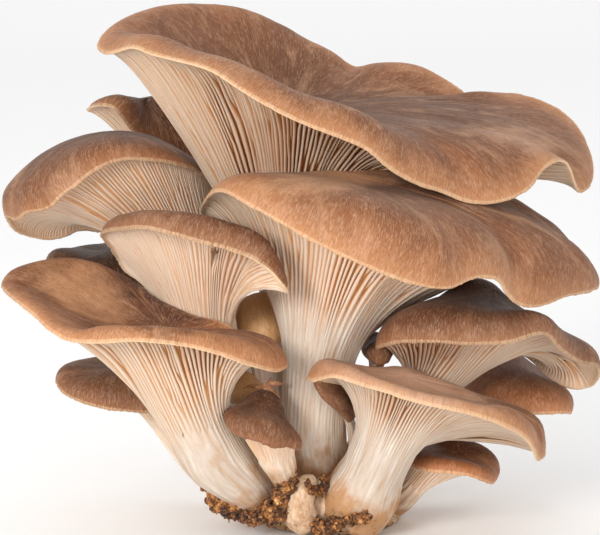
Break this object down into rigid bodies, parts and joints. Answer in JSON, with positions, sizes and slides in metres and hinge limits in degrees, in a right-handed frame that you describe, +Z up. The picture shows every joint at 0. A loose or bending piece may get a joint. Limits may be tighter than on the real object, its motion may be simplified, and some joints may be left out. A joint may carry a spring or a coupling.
{
  "type": "oyster mushroom cluster",
  "caption": "Cluster of oyster mushrooms with overlapping brown fan-shaped caps, deep gills and pale stems, grown together on one cut base that it stands on.",
  "frame": {"origin": "in the plane of the cut underneath, below the middle of the stems", "axes": "+Z up out of the cut, -Y the front that the low caps lean towards, +X to the right seen from the front"},
  "size_m": [0.1769, 0.1353, 0.1524],
  "materials": {
    "mushroom_flesh": "matte, softly fibrous, with a slight moist sheen on the caps",
    "young_flesh": "smooth and slightly moist",
    "base_flesh": "matte, stained",
    "substrate": "crumbly, matte"
  },
  "bodies": {
    "root": {"top_mushroom": "mushroom_flesh", "center_mushroom": "mushroom_flesh", "right_upper_mushroom": "mushroom_flesh", "right_lower_mushroom": "mushroom_flesh", "left_lower_mushroom": "mushroom_flesh", "left_middle_mushroom": "mushroom_flesh", "left_upper_mushroom": "mushroom_flesh", "left_upper_back_mushroom": "mushroom_flesh", "left_back_mushroom": "mushroom_flesh", "left_small_mushroom": "mushroom_flesh", "right_back_mushroom": "mushroom_flesh", "right_small_mushroom": "mushroom_flesh", "front_button": "mushroom_flesh", "side_cap_mushroom": "mushroom_flesh", "tiny_mushroom": "mushroom_flesh", "young_button": "young_flesh", "young_back_button": "young_flesh", "base_clump": "base_flesh", "crust_left": "substrate", "crust_front_left": "substrate", "crust_front_right": "substrate"}
  },
  "joints": []
}
